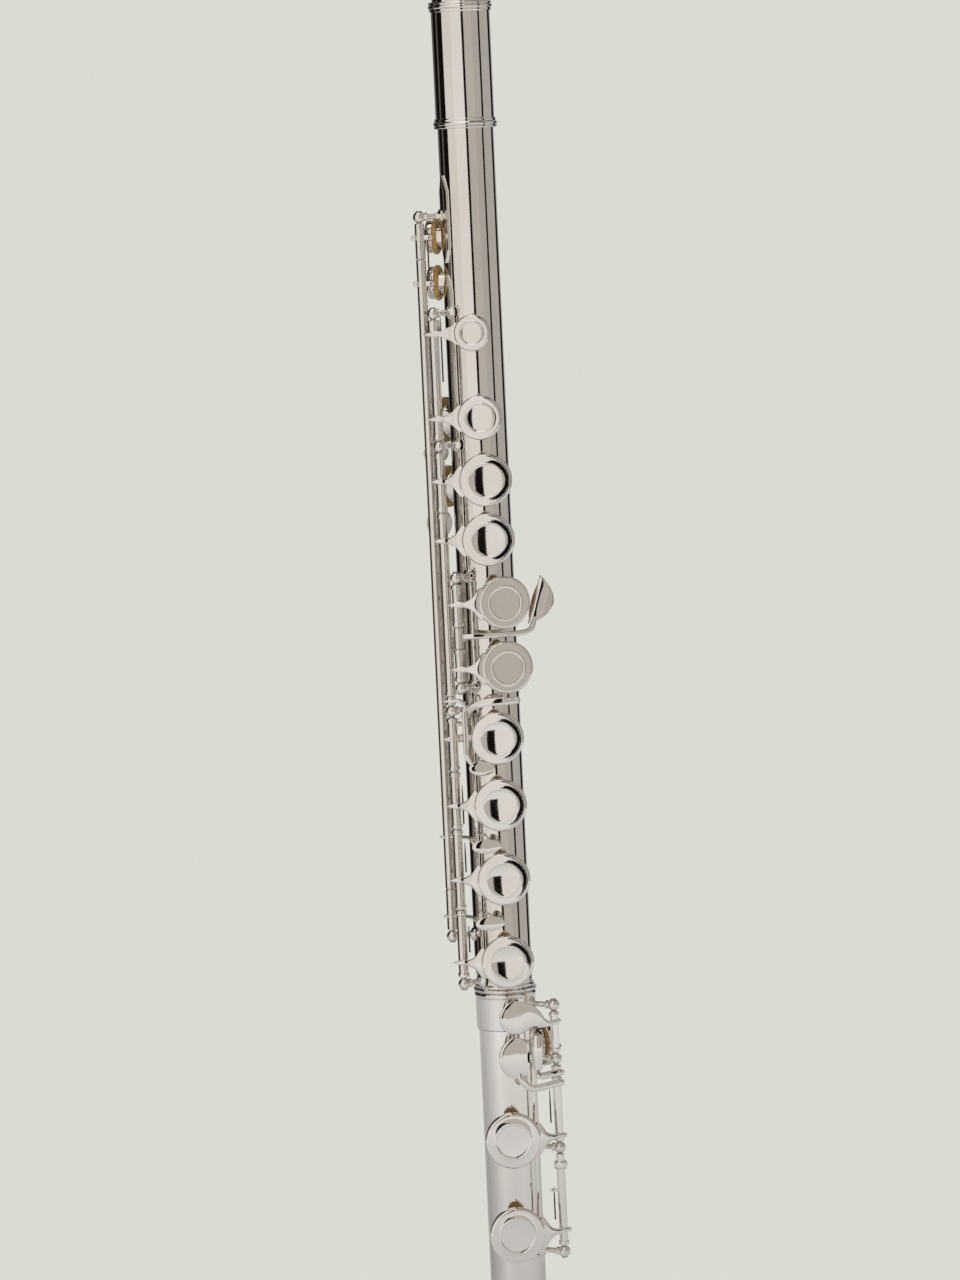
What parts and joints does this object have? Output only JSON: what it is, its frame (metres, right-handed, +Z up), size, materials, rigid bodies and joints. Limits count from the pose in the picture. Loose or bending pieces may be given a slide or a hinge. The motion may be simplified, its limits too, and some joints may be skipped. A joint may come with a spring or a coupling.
{
  "type": "concert flute",
  "caption": "Silver-plated concert flute with closed cups, offset G and C foot: tube in sections, sprung keys on rods, lip plate and crown.",
  "frame": {"origin": "centre of the foot joint's open end, where a stand's peg enters the bore", "axes": "+Z up the tube from the foot to the crown; the in-line cups and the lip plate face -Y; +X is to the right seen from the front"},
  "size_m": [0.0405, 0.0396, 0.6683],
  "materials": {
    "silver_plate": "mirror polished silver plate",
    "pad_skin": "yellow pad skin over felt",
    "steel": "drawn steel",
    "cork": "cork"
  },
  "bodies": {
    "foot_joint": {"foot_tube": "silver_plate", "foot_socket": "silver_plate", "foot_rib": "silver_plate", "foot_posts": "silver_plate", "foot_hinge_steel": "steel", "foot_springs": "steel"},
    "body_joint": {"body_tube": "silver_plate", "body_ring": "silver_plate", "barrel": "silver_plate", "barrel_rings": "silver_plate", "body_ribs": "silver_plate", "body_posts": "silver_plate", "body_steels": "steel", "body_springs": "steel"},
    "head_joint": {"head_tube": "silver_plate", "lip_plate": "silver_plate", "riser": "silver_plate"},
    "crown": {"crown": "silver_plate"},
    "cork": {"head_cork": "cork", "cork_screw": "steel"},
    "c_key": {"c_key": "silver_plate", "c_pads": "pad_skin"},
    "roller": {"roller": "silver_plate"},
    "a_sharp_key": {"a_sharp_key": "silver_plate", "a_sharp_pad": "pad_skin"},
    "a_key": {"a_key": "silver_plate", "a_pad": "pad_skin"},
    "g_upper_key": {"g_upper_key": "silver_plate", "g_upper_pad": "pad_skin"},
    "g_lower_key": {"g_lower_key": "silver_plate", "g_lower_pad": "pad_skin"},
    "f_sharp_key": {"f_sharp_key": "silver_plate", "f_sharp_pad": "pad_skin"},
    "f_key": {"f_key": "silver_plate", "f_pad": "pad_skin"},
    "e_key": {"e_key": "silver_plate", "e_pad": "pad_skin"},
    "d_key": {"d_key": "silver_plate", "d_pad": "pad_skin"},
    "thumb_b_key": {"thumb_b_key": "silver_plate", "thumb_b_pad": "pad_skin"},
    "thumb_b_flat_key": {"thumb_b_flat_key": "silver_plate", "thumb_b_flat_pad": "pad_skin"},
    "g_sharp_key": {"g_sharp_key": "silver_plate", "g_sharp_pad": "pad_skin"},
    "trill_d_sharp_key": {"trill_d_sharp_key": "silver_plate", "trill_d_sharp_pad": "pad_skin"},
    "trill_d_key": {"trill_d_key": "silver_plate", "trill_d_pad": "pad_skin"},
    "foot_c_key": {"foot_c_key": "silver_plate", "foot_c_pad": "pad_skin", "roller_axle": "steel"},
    "foot_c_sharp_key": {"foot_c_sharp_key": "silver_plate", "foot_c_sharp_pad": "pad_skin"},
    "foot_d_sharp_key": {"foot_d_sharp_key": "silver_plate", "foot_d_sharp_pad": "pad_skin"},
    "side_lever": {"side_lever": "silver_plate"}
  },
  "joints": [
    {"name": "foot_turn", "type": "hinge", "parent": "foot_joint", "child": "body_joint", "pos_m": [0, 0, 0.1176], "axis": [0, 0, 1], "range_deg": [-15, 15]},
    {"name": "head_slide", "type": "slide", "parent": "body_joint", "child": "head_joint", "axis": [0, 0, 1], "range_m": [0, 0.012]},
    {"name": "crown_turn", "type": "hinge", "parent": "head_joint", "child": "crown", "pos_m": [0, 0, 0.655], "axis": [0, 0, 1], "range_deg": [-180, 180]},
    {"name": "cork_slide", "type": "slide", "parent": "head_joint", "child": "cork", "axis": [0, 0, 1], "range_m": [-0.0005, 0.0005]},
    {"name": "c_key_press", "type": "hinge", "parent": "body_joint", "child": "c_key", "pos_m": [-0.016, -0.0093, 0.345], "axis": [0, 0, 1], "range_deg": [0, 9], "stiffness_Nm_per_rad": 0.01, "springref_deg": -4.58},
    {"name": "a_sharp_key_press", "type": "hinge", "parent": "body_joint", "child": "a_sharp_key", "pos_m": [-0.016, -0.0093, 0.3094], "axis": [0, 0, 1], "range_deg": [0, 9], "stiffness_Nm_per_rad": 0.01, "springref_deg": -4.58},
    {"name": "a_key_press", "type": "hinge", "parent": "body_joint", "child": "a_key", "pos_m": [-0.016, -0.0093, 0.2882], "axis": [0, 0, 1], "range_deg": [0, 9], "stiffness_Nm_per_rad": 0.01, "springref_deg": -4.58},
    {"name": "g_upper_key_press", "type": "hinge", "parent": "body_joint", "child": "g_upper_key", "pos_m": [-0.01282, -0.01335, 0.2655], "axis": [0, 0, 1], "range_deg": [0, 9], "stiffness_Nm_per_rad": 0.01, "springref_deg": -4.58},
    {"name": "g_lower_key_press", "type": "hinge", "parent": "body_joint", "child": "g_lower_key", "pos_m": [-0.01282, -0.01335, 0.2423], "axis": [0, 0, 1], "range_deg": [0, 9], "stiffness_Nm_per_rad": 0.01, "springref_deg": -4.58},
    {"name": "f_sharp_key_press", "type": "hinge", "parent": "body_joint", "child": "f_sharp_key", "pos_m": [-0.016, -0.0093, 0.2171], "axis": [0, 0, 1], "range_deg": [0, 9], "stiffness_Nm_per_rad": 0.01, "springref_deg": -4.58},
    {"name": "f_key_press", "type": "hinge", "parent": "body_joint", "child": "f_key", "pos_m": [-0.016, -0.0093, 0.1931], "axis": [0, 0, 1], "range_deg": [0, 9], "stiffness_Nm_per_rad": 0.01, "springref_deg": -4.58},
    {"name": "e_key_press", "type": "hinge", "parent": "body_joint", "child": "e_key", "pos_m": [-0.016, -0.0093, 0.1663], "axis": [0, 0, 1], "range_deg": [0, 9], "stiffness_Nm_per_rad": 0.01, "springref_deg": -4.58},
    {"name": "d_key_press", "type": "hinge", "parent": "body_joint", "child": "d_key", "pos_m": [-0.016, -0.0093, 0.1364], "axis": [0, 0, 1], "range_deg": [0, 9], "stiffness_Nm_per_rad": 0.01, "springref_deg": -4.58},
    {"name": "thumb_b_key_press", "type": "hinge", "parent": "body_joint", "child": "thumb_b_key", "pos_m": [0.00505, 0.0178, 0.33], "axis": [0, 0, 1], "range_deg": [0, 9], "stiffness_Nm_per_rad": 0.01, "springref_deg": -4.58},
    {"name": "thumb_b_flat_key_press", "type": "hinge", "parent": "body_joint", "child": "thumb_b_flat_key", "pos_m": [0.00505, 0.0178, 0.306], "axis": [0, 0, 1], "range_deg": [0, 9], "stiffness_Nm_per_rad": 0.01, "springref_deg": -4.58},
    {"name": "g_sharp_key_press", "type": "hinge", "parent": "body_joint", "child": "g_sharp_key", "pos_m": [-0.01282, -0.01335, 0.254], "axis": [0, 0, 1], "range_deg": [0, 8], "stiffness_Nm_per_rad": 0.01, "springref_deg": -4.58},
    {"name": "trill_d_sharp_key_press", "type": "hinge", "parent": "body_joint", "child": "trill_d_sharp_key", "pos_m": [-0.0185, -0.0024, 0.25], "axis": [0, 0, 1], "range_deg": [0, 10], "stiffness_Nm_per_rad": 0.01, "springref_deg": -4.58},
    {"name": "trill_d_key_press", "type": "hinge", "parent": "body_joint", "child": "trill_d_key", "pos_m": [-0.0185, -0.0024, 0.25], "axis": [0, 0, 1], "range_deg": [0, 10], "stiffness_Nm_per_rad": 0.01, "springref_deg": -4.58},
    {"name": "side_lever_press", "type": "hinge", "parent": "body_joint", "child": "side_lever", "pos_m": [-0.016, -0.0093, 0.2308], "axis": [0, 0, 1], "range_deg": [0, 4.5], "stiffness_Nm_per_rad": 0.01, "springref_deg": -4.58},
    {"name": "foot_c_key_press", "type": "hinge", "parent": "foot_joint", "child": "foot_c_key", "pos_m": [0.01549, -0.01238, 0.06], "axis": [0, 0, -1], "range_deg": [0, 9], "stiffness_Nm_per_rad": 0.01, "springref_deg": -4.58},
    {"name": "foot_c_sharp_key_press", "type": "hinge", "parent": "foot_joint", "child": "foot_c_sharp_key", "pos_m": [0.01549, -0.01238, 0.08], "axis": [0, 0, -1], "range_deg": [0, 9], "stiffness_Nm_per_rad": 0.01, "springref_deg": -4.58},
    {"name": "foot_d_sharp_key_press", "type": "hinge", "parent": "foot_joint", "child": "foot_d_sharp_key", "pos_m": [0.01549, -0.01238, 0.108], "axis": [0, 0, -1], "range_deg": [0, 8], "stiffness_Nm_per_rad": 0.01, "springref_deg": -4.58},
    {"name": "roller_spin", "type": "hinge", "parent": "foot_c_key", "child": "roller", "pos_m": [0.0082, -0.01735, 0.1022], "axis": [0, 0, 1], "continuous": true}
  ],
  "couplings": [
    {"joint": "a_sharp_key_press", "follows": "a_key_press", "ratio": 1},
    {"joint": "g_lower_key_press", "follows": "g_upper_key_press", "ratio": 1},
    {"joint": "f_sharp_key_press", "follows": "f_key_press", "ratio": 1},
    {"joint": "cork_slide", "follows": "crown_turn", "m_per_rad": 0.00012732}
  ]
}
